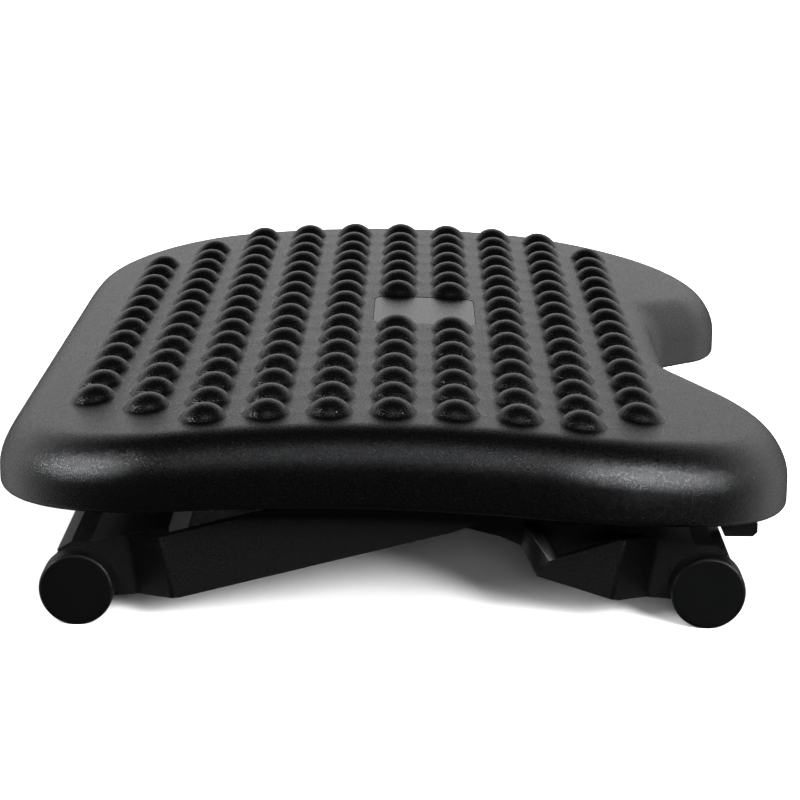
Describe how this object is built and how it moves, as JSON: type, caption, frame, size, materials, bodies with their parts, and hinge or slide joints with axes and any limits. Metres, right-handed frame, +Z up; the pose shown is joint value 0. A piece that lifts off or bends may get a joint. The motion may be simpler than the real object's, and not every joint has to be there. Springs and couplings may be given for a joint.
{
  "type": "tilting under desk footrest",
  "caption": "Arched, studded foot platform with a notched side, on two crossed folding leg frames with roller bars and round rubber feet.",
  "frame": {"origin": "on the floor, under the middle of the platform's outline, with both legs at their lowest setting", "axes": "+Y along the footrest's long side, +X towards the notched side, +Z up"},
  "size_m": [0.3536, 0.4756, 0.0974],
  "materials": {
    "platform_plastic": "fine-grained satin black moulding",
    "label_plastic": "smooth satin dark grey inlay, left bare",
    "frame_plastic": "fine-textured black moulding",
    "lever_plastic": "satin black moulding",
    "roller_plastic": "satin black tube",
    "bush_plastic": "plain black moulding",
    "rubber": "matte black rubber",
    "pin_steel": "zinc plated, drawn",
    "spring_steel": "blued, stamped",
    "screw_steel": "black zinc plated"
  },
  "bodies": {
    "platform": {"platform_shell": "platform_plastic", "label_plate": "label_plastic", "platform_screws": "screw_steel", "rest_stop_pads": "rubber", "left_hinge_straps": "frame_plastic", "left_detent_leaf": "spring_steel", "left_lever_pin": "pin_steel", "right_hinge_straps": "frame_plastic", "right_detent_leaf": "spring_steel", "right_lever_pin": "pin_steel"},
    "left_leg": {"left_leg_frame": "frame_plastic", "left_hinge_rod": "pin_steel", "left_rod_clips": "spring_steel", "left_height_quadrant": "spring_steel", "left_roller_axle": "pin_steel", "near_left_foot": "rubber", "far_left_foot": "rubber"},
    "left_roller": {"left_roller_tube": "roller_plastic", "left_roller_bushes": "bush_plastic"},
    "left_lever": {"left_release_lever": "lever_plastic"},
    "right_leg": {"right_leg_frame": "frame_plastic", "right_hinge_rod": "pin_steel", "right_rod_clips": "spring_steel", "right_height_quadrant": "spring_steel", "right_roller_axle": "pin_steel", "near_right_foot": "rubber", "far_right_foot": "rubber"},
    "right_roller": {"right_roller_tube": "roller_plastic", "right_roller_bushes": "bush_plastic"},
    "right_lever": {"right_release_lever": "lever_plastic"}
  },
  "joints": [
    {"name": "left_leg_fold", "type": "hinge", "parent": "platform", "child": "left_leg", "pos_m": [0.08, 0, 0.071], "axis": [0, -1, 0], "range_deg": [0, 10.9], "deforming": ["left_detent_leaf"]},
    {"name": "left_roller_spin", "type": "hinge", "parent": "left_leg", "child": "left_roller", "pos_m": [-0.135, 0, 0.0158], "axis": [0, 1, 0], "continuous": true},
    {"name": "left_release_lever_pull", "type": "hinge", "parent": "platform", "child": "left_lever", "pos_m": [0.136, 0, 0.066], "axis": [0, -1, 0], "range_deg": [0, 8], "stiffness_Nm_per_rad": 0.5, "deforming": ["left_detent_leaf"]},
    {"name": "right_leg_fold", "type": "hinge", "parent": "platform", "child": "right_leg", "pos_m": [-0.08, 0, 0.071], "axis": [0, 1, 0], "range_deg": [0, 10.9], "deforming": ["right_detent_leaf"]},
    {"name": "right_roller_spin", "type": "hinge", "parent": "right_leg", "child": "right_roller", "pos_m": [0.135, 0, 0.0158], "axis": [0, 1, 0], "continuous": true},
    {"name": "right_release_lever_pull", "type": "hinge", "parent": "platform", "child": "right_lever", "pos_m": [-0.136, 0, 0.066], "axis": [0, 1, 0], "range_deg": [0, 8], "stiffness_Nm_per_rad": 0.5, "deforming": ["right_detent_leaf"]}
  ]
}
